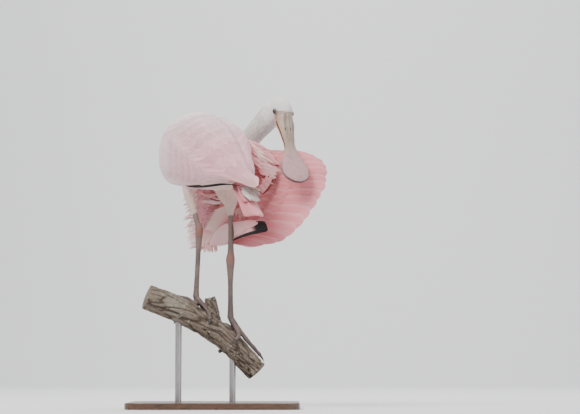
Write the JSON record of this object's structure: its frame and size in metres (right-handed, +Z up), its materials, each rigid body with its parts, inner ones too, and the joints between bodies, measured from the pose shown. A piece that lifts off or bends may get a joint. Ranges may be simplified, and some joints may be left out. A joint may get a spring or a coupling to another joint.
{
  "type": "roseate spoonbill model",
  "caption": "Still life-size wading bird on a cut branch, head turned back to preen the underside of its spread right wing, held over a flat stand by rods.",
  "frame": {"origin": "centre of the underside of the stand's base", "axes": "+Z up; +X to the right of the picture's view; +Y away from its camera; the bird faces away and to the left, towards -X +Y"},
  "size_m": [0.3732, 0.403, 0.6037],
  "materials": {
    "plumage": "soft pale pink feathers",
    "white_plumage": "short off-white down",
    "pink_plumage": "rose pink flight feathers",
    "bill": "dull horn, pinkish grey",
    "eye": "dark, wet and glossy",
    "leg": "scaly skin, grey brown",
    "bark": "rough weathered bark",
    "steel": "brushed",
    "base": "dark satin varnish"
  },
  "bodies": {
    "root": {"torso": "plumage", "neck_lower": "white_plumage", "neck_middle": "white_plumage", "neck_upper": "white_plumage", "head": "white_plumage", "bill_upper": "bill", "bill_lower": "bill", "eye_left": "eye", "eye_right": "eye", "wing_left": "plumage", "wing_right_arm": "pink_plumage", "wing_right_hand": "pink_plumage", "tail": "pink_plumage", "thigh_left": "plumage", "thigh_right": "plumage", "shank_left": "leg", "shank_right": "leg", "foot_left": "leg", "foot_right": "leg", "perch": "bark", "stand_rod_1": "steel", "stand_rod_2": "steel", "stand_base": "base"}
  },
  "joints": []
}
